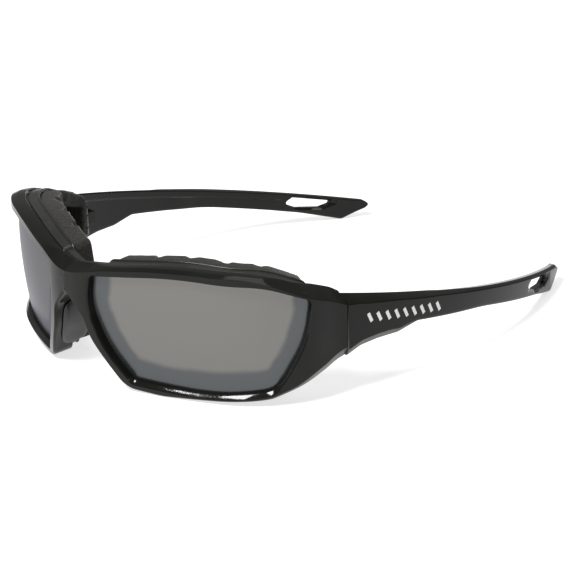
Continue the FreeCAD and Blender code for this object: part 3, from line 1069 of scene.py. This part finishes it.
@dataclass
class NosePad(Sided):
    """Soft pad that hugs the edge of the nose cut-out, oval from the side."""

    thickness: float = 1.7
    front_depth: float = 2.4
    rear_depth: float = 11.4
    low: float = 5.6
    high: float = 23.9
    squareness: float = 0.55
    rings: int = 10
    spokes: int = 56
    base: float = 0.05
    lip: float = 0.35

    def build(self) -> None:
        """Builds the pad as a domed skin over a flat one and dresses it."""
        start, end = OUTLINE.nearest(-32.0, self.low), OUTLINE.nearest(-42.0, self.high)
        run = (end - start) % OUTLINE.length
        middle_depth = (self.front_depth + self.rear_depth) / 2

        def at(ring: float, turn: float, lift: float) -> Vector:
            """Point of the pad at a share of its half size and a height off the frame."""
            c, s = math.cos(turn), math.sin(turn)
            along = math.copysign(abs(c) ** self.squareness, c) * ring
            deep_share = math.copysign(abs(s) ** self.squareness, s) * ring
            spot = start + run * (0.5 + 0.5 * along)
            edge = OUTLINE.at(spot) + OUTLINE.outwards(spot) * lift
            depth = middle_depth + deep_share * (self.rear_depth - self.front_depth) / 2
            return PLAN.point(edge.x, edge.y, depth)

        work = bmesh.new()
        turns = [math.tau * i / self.spokes for i in range(self.spokes)]
        for top in (True, False):
            pole = at(0.0, 0.0, self.thickness if top else self.base)
            centre = work.verts.new(self.side.mirrored(pole))
            made = []
            for k in range(1, self.rings + 1):
                share = k / self.rings
                dome = (1.0 - share ** 5.0) ** 0.6
                lift = self.lip + (self.thickness - self.lip) * dome if top else self.base
                if k == self.rings:
                    lift = self.lip
                spots = [self.side.mirrored(at(share, turn, lift)) for turn in turns]
                made.append([work.verts.new(spot) for spot in spots])
            for i in range(self.spokes):
                j = (i + 1) % self.spokes
                work.faces.new((centre, made[0][i], made[0][j]))
                for a, b in zip(made, made[1:]):
                    work.faces.new((a[i], b[i], b[j], a[j]))
        name = self.named("nose_pad")
        mesh = finished(work, name, 60.0)
        obj = place(name + "_skin", mesh, "front", Slot.PAD, self.finishes.pad, [name])


# ------------------------------------------------------------------ temples


@dataclass
class Temple(Sided):
    """Curved arm from the seam to the tip, with a slanted strap window."""

    start: float = 45.3
    end: float = 161.5
    low: float = 150.0
    top_start: float = 31.75
    top_end: float = 5.2
    inner_centre_y: float = 75.3
    inner_radius: float = 163.0
    sections: int = 140
    # Where the painted highlight on the temple's lower chamfer fades out.
    rub_fade: tuple[float, float] = (62.0, 72.0)
    cutter_pitch: float = 1.2
    bevel: Table = (
        (45.0, 2.8), (49.6, 2.3), (67.1, 1.4), (85.9, 0.8), (110.0, 0.6), (161.0, 0.6),
    )
    chamfer: Table = (
        (45.0, 1.45), (60.0, 1.3), (66.0, 0.9), (74.0, 0.5), (161.0, 0.5),
    )
    ledge_drop: Table = ((45.0, 2.6), (70.0, 2.4), (120.0, 2.2), (161.0, 1.6))
    ledge_step: Table = (
        (48.0, 0.0), (52.0, 0.7), (86.0, 0.7), (92.0, 0.35), (100.0, 0.9), (126.0, 0.9),
        (132.0, 0.0),
    )
    flares: Table = (
        (-3.0, 1.6), (-0.05, 1.15), (0.35, 0.5), (0.8, 0.0), (2.6, 0.0), (3.2, 0.6), (6.0, 0.6),
    )

    @property
    def corners(self) -> tuple[Corner, ...]:
        """Side view: distance along Y, height, radius."""
        return (
            (self.start, self.top_start, 0.0), (self.end, self.top_end, 1.6), (self.low, 0.0, 1.6),
            (self.low - 14.0, 4.3, 60.0), (self.start + 57.085, 12.4, 120.0),
            (self.start + 26.7, 16.95, 5.0), (self.start + 18.7, 15.25, 6.0),
            (self.start + 11.0, 15.2, 12.0), (self.start + 5.0, 14.5, 8.0), (self.start, 12.4, 0.0),
        )

    @property
    def window(self) -> tuple[Corner, ...]:
        """Side view of the strap window."""
        front, rear = self.end - 30.5, self.end - 12.5
        fall = (self.top_start - self.top_end) / 116.2
        top = self.top_end + 27.5 * fall - 1.4
        rear_top = top - 15.0 * fall
        return (
            (front, top - 1.76, 0.8), (front + 3.0, top, 0.8), (rear, rear_top, 0.5),
            (rear - 5.5, rear_top - 1.6, 0.8), (front + 5.0, top - 4.1, 0.8),
        )

    def outer_x(self, y: float) -> float:
        """Outer face of the temple at a place along it."""
        centre = PLAN.temple_centre
        return centre.x + math.sqrt(PLAN.temple_radius ** 2 - (y - centre.y) ** 2)

    def inner_x(self, y: float) -> float:
        """Inner face of the temple at a place along it."""
        along = y - self.inner_centre_y
        return PLAN.temple_centre.x + math.sqrt(self.inner_radius ** 2 - along ** 2)

    def heights(self, y: float) -> tuple[float, float]:
        """Lowest and highest point of the side view at a place along it."""
        found = []
        outline = self.trace
        for a, b in zip(outline, outline[1:] + outline[:1]):
            if (a.x - y) * (b.x - y) <= 0.0 and a.x != b.x:
                found.append(a.y + (b.y - a.y) * (y - a.x) / (b.x - a.x))
        return min(found), max(found)

    def section(self, y: float) -> Path:
        """One closed section, in metres."""
        low, top = self.heights(y)
        height = top - low
        outer = self.outer_x(y)
        wall = outer - self.inner_x(y)
        small = min(1.0, height / 5.0)
        bevel = min(table(self.bevel, y), height * 0.3)
        chamfer = min(table(self.chamfer, y), height * 0.3)
        step = table(self.ledge_step, y) * small
        ledge = top - min(table(self.ledge_drop, y), height * 0.4)
        ridge = wall - 0.5
        if bevel <= 1.0:
            ridge = wall * 0.35 + (wall * 0.65 - 0.5) * smooth(0.6, 1.0, bevel)
        path = [
            Vector((0.0, top - bevel)), Vector((ridge, top)), Vector((wall, top - 0.35 * small)),
            Vector((wall, ledge)), Vector((wall - step, ledge - 0.55 * small)),
            Vector((wall - step, low + 0.9 * small)),
            Vector((wall - 0.6 * small - step * 0.5, low)),
            Vector((chamfer * 0.75, low)), Vector((0.0, low + chamfer * 1.4)),
        ]
        radii = [r * small for r in (0.45, 0.35, 0.25, 0.0, 0.0, 0.4, 0.35, 0.3, 0.35)]
        radii[3:5] = 0.2, 0.2
        soft = softened(path, [max(r, 0.02) for r in radii])
        return [in_frame(outer - p.x, y, p.y) for p in soft]

    def cutter(self) -> bpy.types.Object:
        """Window tool: straight through the wall, flared at both faces."""
        rows = []
        for depth, flare in self.flares:
            ring = traced(grown(self.window, flare), self.cutter_pitch, 6, self.window)
            rows.append([in_frame(self.outer_x(p.x) - depth, p.x, p.y) for p in ring])
        return linked("window_tool", grid_mesh("window_tool", rows, False, self.side, True))

    def build(self) -> None:
        """Builds the arm, cuts the window and dresses it."""
        self.trace = traced(self.corners, 0.5, 14)
        first, last = self.start + 0.02, max(p.x for p in self.trace) - 0.08
        places = [first + (last - first) * k / self.sections for k in range(self.sections + 1)]
        name = self.named("temple")
        # Seven rounded corners of 5 points come before the chamfer's lower corner.
        low_edge = 5 * 7 + 2

        def rub(row: int, place_in_row: int) -> float:
            """Share of the painted highlight on the lower chamfer, from the seam to the knee."""
            on_chamfer = low_edge <= place_in_row <= low_edge + 5
            return 1.0 - smooth(*self.rub_fade, places[row]) if on_chamfer else 0.0

        rows = [self.section(y) for y in places]
        arm = linked(name, grid_mesh(name, rows, False, self.side, True, rub))
        tool = self.cutter()
        cut = arm.modifiers.new("window", "BOOLEAN")
        cut.operation = "DIFFERENCE"
        cut.solver = "EXACT"
        cut.object = tool
        plain = applied(arm, name)
        bpy.data.objects.remove(tool)
        mesh = cleaned(plain, name, 32.0)
        place(name + "_arm", mesh, name, Slot.TEMPLE, self.finishes.temple, [name])


@dataclass
class Hinge(Sided):
    """Ears of the front and tongue of the temple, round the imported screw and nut."""

    axis_x: float = 61.239
    axis_y: float = -28.389
    axis_z: float = 22.852
    knuckle: float = 2.2
    tongue_half: float = 2.0
    ear_height: float = 2.6
    gap: float = 0.1
    bore: float = 0.8
    spokes: int = 72

    def plate(self, name: str, spans: Sequence[float], low: float, high: float) -> Mesh:
        """Flat plate with a round knuckle, a root and a bore.

        Args:
            name: name of the mesh.
            spans: root's lowest and highest X, then its lowest and highest Y, from the axis.
            low: lower face, from the axis height.
            high: upper face.

        Returns:
            The mesh.
        """
        rows = []
        axis = Vector((self.axis_x, self.axis_y, self.axis_z))
        for k in range(self.spokes):
            turn = math.tau * k / self.spokes
            way = Vector((math.cos(turn), math.sin(turn)))
            limits = []
            for value, lowest, highest in ((way.x, *spans[:2]), (way.y, *spans[2:])):
                if abs(value) > 1e-9:
                    limits.append((highest if value > 0.0 else lowest) / value)
            reach = max(self.knuckle, min(limits))
            path = [
                deep(way * self.bore, low), deep(way * reach, low),
                deep(way * reach, high), deep(way * self.bore, high),
            ]
            rows.append([(p + axis) * MM for p in softened(path, [0.0, 0.25, 0.25, 0.0], 3)])
        return grid_mesh(name, rows, True, self.side)

    def build(self) -> None:
        """Builds the ears and the tongue and dresses them."""
        half = self.tongue_half + self.gap
        root = (-self.knuckle, self.knuckle, -5.4, 0.001)
        for label, low, high in (
            ("upper", half, half + self.ear_height), ("lower", -half - self.ear_height, -half)
        ):
            name = self.named("hinge_ear_" + label)
            mesh = self.plate(name, root, low, high)
            place(name, mesh, "front", Slot.FRAME, self.finishes.frame)
        name = self.named("hinge_tongue")
        arm = (-0.001, 5.1, -1.09, 5.6)
        mesh = self.plate(name, arm, -self.tongue_half, self.tongue_half)
        place(name, mesh, self.named("temple"), Slot.TEMPLE, self.finishes.temple)


# ------------------------------------------------------------------ repeated and followed pieces


class NodeKit:
    """Short ways to build a Geometry Nodes tree."""

    def __init__(self, name: str) -> None:
        """Starts a tree with a geometry input and output."""
        self.tree = bpy.data.node_groups.new(name, "GeometryNodeTree")
        self.sockets = self.tree.interface
        for way in ("INPUT", "OUTPUT"):
            self.sockets.new_socket("Geometry", in_out=way, socket_type="NodeSocketGeometry")
        self.start = self.tree.nodes.new("NodeGroupInput")
        self.end = self.tree.nodes.new("NodeGroupOutput")

    def number(self, label: str, value: float) -> str:
        """Adds a named size and returns its identifier."""
        socket = self.sockets.new_socket(label, in_out="INPUT", socket_type="NodeSocketFloat")
        socket.default_value = value
        return socket.identifier

    def add(self, kind: str, **inputs: object) -> bpy.types.Node:
        """Adds a node; inputs are sockets to join or plain values."""
        return added(self.tree, "GeometryNode" + kind, **inputs)

    def close(self, geometry: Socket, material: Material) -> Tree:
        """Ends the tree in Realize Instances and Set Material."""
        real = self.add("RealizeInstances", Geometry=geometry)
        dressed = self.add("SetMaterial", Geometry=real.outputs[0], Material=material)
        self.tree.links.new(dressed.outputs[0], self.end.inputs[0])
        return self.tree


def run_tree(
    name: str, base: Mesh, tree: Tree, values: dict[str, float], crease: float = 38.0
) -> Mesh:
    """Runs a Geometry Nodes tree on a base mesh and returns the plain result.

    Args:
        name: name of the result.
        base: mesh that the tree starts from.
        tree: the tree.
        values: its sizes, by socket identifier.
        crease: angle in degrees above which an edge stays sharp.

    Returns:
        The finished mesh.
    """
    obj = linked(name, base)
    modifier = obj.modifiers.new("build", "NODES")
    modifier.node_group = tree
    for identifier, value in values.items():
        modifier[identifier] = value
    return cleaned(applied(obj, name), name, crease)


@dataclass
class LipBead(Sided):
    """Thin moulded bead that follows the carrier's edge, between the rim and the foam."""

    depth: float = 8.75
    outside: float = 1.75
    radius: float = 0.38

    def build(self) -> None:
        """Sweeps the bead round the opening with Geometry Nodes."""
        ring = traced(grown(OPENING_CORNERS, self.outside), 1.0)
        points = on_front([deep(p, self.depth) for p in ring])
        count = len(points)
        edges = [(i, (i + 1) % count) for i in range(count)]
        base = bpy.data.meshes.new("bead_path")
        base.from_pydata([self.side.mirrored(p) for p in points], edges, [])
        kit = NodeKit(self.named("bead"))
        size = kit.number("Bead radius", self.radius * MM)
        line = kit.add("MeshToCurve", Mesh=kit.start.outputs[0])
        radius = kit.start.outputs["Bead radius"]
        circle = kit.add("CurvePrimitiveCircle", Resolution=10, Radius=radius)
        sweep = kit.add("CurveToMesh", Curve=line.outputs[0], Profile_Curve=circle.outputs[0])
        tree = kit.close(sweep.outputs[0], self.finishes.carrier)
        name = self.named("carrier_bead")
        mesh = run_tree(name, base, tree, {size: self.radius * MM}, 60.0)
        place(name, mesh, "front", Slot.CARRIER, self.finishes.carrier)


@dataclass
class PrintBars:
    """Row of plain slanted bars, pad-printed on the outer face of the temple."""

    finishes: Finishes
    temple: Temple
    first: float = 53.0
    last: float = 80.5
    count: int = 9
    first_z: float = 23.1
    last_z: float = 19.4
    width: float = 1.1
    height: float = 3.1
    relief: float = 0.06
    slant: float = 0.42

    def build(self) -> None:
        """Sets the bars along the temple with Geometry Nodes."""
        side = self.temple.side
        points, turns = [], []
        for k in range(self.count):
            share = k / (self.count - 1)
            y = self.first + (self.last - self.first) * share
            x = self.temple.outer_x(y)
            step = self.temple.outer_x(y + 0.5) - self.temple.outer_x(y - 0.5)
            z = self.first_z + (self.last_z - self.first_z) * share
            points.append(side.mirrored(in_frame(x, y, z)))
            turns.append(-math.atan(step) * side.value)
        base = bpy.data.meshes.new("bar_places")
        base.from_pydata(points, [], [])
        base.attributes.new("turn", "FLOAT", "POINT").data.foreach_set("value", turns)
        kit = NodeKit(side.prefix + "bars")
        given_sizes = (
            ("Bar relief", self.relief * MM), ("Bar width", self.width * MM),
            ("Bar height", self.height * MM), ("Slant", self.slant),
        )
        sizes = {kit.number(label, value): value for label, value in given_sizes}
        given = kit.start.outputs
        size = added(
            kit.tree, "ShaderNodeCombineXYZ",
            X=given["Bar relief"], Y=given["Bar width"], Z=given["Bar height"],
        )
        bar = kit.add("MeshCube", Size=size.outputs[0])
        turn = kit.add("InputNamedAttribute", Name="turn")
        way = added(kit.tree, "ShaderNodeCombineXYZ", X=given["Slant"], Z=turn.outputs["Attribute"])
        rows = kit.add(
            "InstanceOnPoints", Points=given[0], Instance=bar.outputs[0], Rotation=way.outputs[0]
        )
        tree = kit.close(rows.outputs[0], self.finishes.print)
        name = side.prefix + "print_bars"
        mesh = run_tree(name, base, tree, sizes)
        place(name, mesh, side.prefix + "temple", Slot.TEMPLE, self.finishes.print)


# ------------------------------------------------------------------ studio


@dataclass(frozen=True)
class Studio:
    """Pale floor, soft light and the camera."""

    azimuth: float = 48.4727
    elevation: float = 21.0008
    roll: float = -1.4143
    distance: float = 0.966
    target: tuple[float, float, float] = (0.0137825, -0.0046031, 0.0122242)
    lens: float = 189.716
    floor_half: float = 6.0
    floor_grey: float = 0.42
    floor_glow: float = 0.72
    world_strength: float = 0.25

    def camera(self) -> None:
        """Sets the camera at its viewing angle."""
        a, e, r = (math.radians(v) for v in (self.azimuth, self.elevation, self.roll))
        back = Vector((math.sin(a) * math.cos(e), -math.cos(a) * math.cos(e), math.sin(e)))
        right = Vector((math.cos(a), math.sin(a), 0.0))
        up = right.cross(-back)
        across = right * math.cos(r) + up * math.sin(r)
        upward = up * math.cos(r) - right * math.sin(r)
        data = bpy.data.cameras.new("camera")
        data.lens = self.lens
        data.sensor_width = 36.0
        data.clip_start, data.clip_end = 0.05, 20.0
        obj = linked("camera", data)
        facing = Matrix((across, upward, back)).transposed().to_4x4()
        obj.matrix_world = Matrix.Translation(Vector(self.target) + back * self.distance) @ facing
        bpy.context.scene.camera = obj

    def floor(self) -> None:
        """Adds the pale floor."""
        mesh = bpy.data.meshes.new("floor")
        far = self.floor_half
        corners = [(-far, -far, 0), (far, -far, 0), (far, far, 0), (-far, far, 0)]
        mesh.from_pydata(corners, [], [(0, 1, 2, 3)])
        kit = ShaderKit("pale_floor")
        grey = self.floor_grey
        kit.shader.inputs["Base Color"].default_value = (grey, grey, grey, 1.0)
        kit.shader.inputs["Emission Color"].default_value = (1.0, 1.0, 1.0, 1.0)
        kit.shader.inputs["Emission Strength"].default_value = self.floor_glow
        kit.set(roughness=0.9, specular=0.0)
        mesh.materials.append(kit.material)
        linked("floor", mesh)

    def lamp(self, name: str, place_at: Sequence[float], size: float, power: float) -> None:
        """Adds one soft square lamp that faces the glasses."""
        data = bpy.data.lights.new(name, "AREA")
        data.shape = "SQUARE"
        data.size = size
        data.energy = power
        obj = linked(name, data)
        obj.location = place_at
        obj.rotation_euler = (-Vector(place_at)).to_track_quat("-Z", "Y").to_euler()

    def build(self) -> None:
        """Builds the whole studio."""
        self.camera()
        self.floor()
        world = bpy.data.worlds.new("studio")
        world.use_nodes = True
        sky = world.node_tree.nodes["Background"].inputs
        sky["Color"].default_value = (1.0, 1.0, 1.0, 1.0)
        sky["Strength"].default_value = self.world_strength
        bpy.context.scene.world = world
        self.lamp("top_soft", (-0.2, 0.5, 1.5), 0.9, 4.0)
        self.lamp("brow_key", (0.07, -0.885, 1.21), 0.42, 32.0)
        bpy.context.scene.view_settings.view_transform = "Standard"


def dress_packed_nodes(finishes: Finishes) -> None:
    """Gives the CAD nodes that stay in view their finishes."""
    finish_of = {
        "seal_carrier": finishes.carrier,
        "foam_tape": finishes.tape,
        "hinge_screw": finishes.steel,
        "hinge_nut": finishes.steel,
    }
    for name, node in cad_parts.items():
        plain = name.replace("left_", "").replace("right_", "")
        if plain in finish_of:
            for slot in node.material_slots:
                slot.material = finish_of[plain]
            log.info("%s keeps its packed shape", name)


def main() -> None:
    """Builds the studio and every piece."""
    logging.basicConfig(level=logging.INFO, format="%(name)s: %(message)s")
    Studio().build()
    finishes = Finishes()
    FrontFrame(finishes).build()
    for side in Side:
        Lens(finishes, side).build()
        CarrierLip(finishes, side).build()
        LipBead(finishes, side).build()
        FoamSeal(finishes, side).build()
        NosePad(finishes, side).build()
        arm = Temple(finishes, side)
        arm.build()
        PrintBars(finishes, arm).build()
        Hinge(finishes, side).build()
    dress_packed_nodes(finishes)


if __name__ == "__main__":
    main()
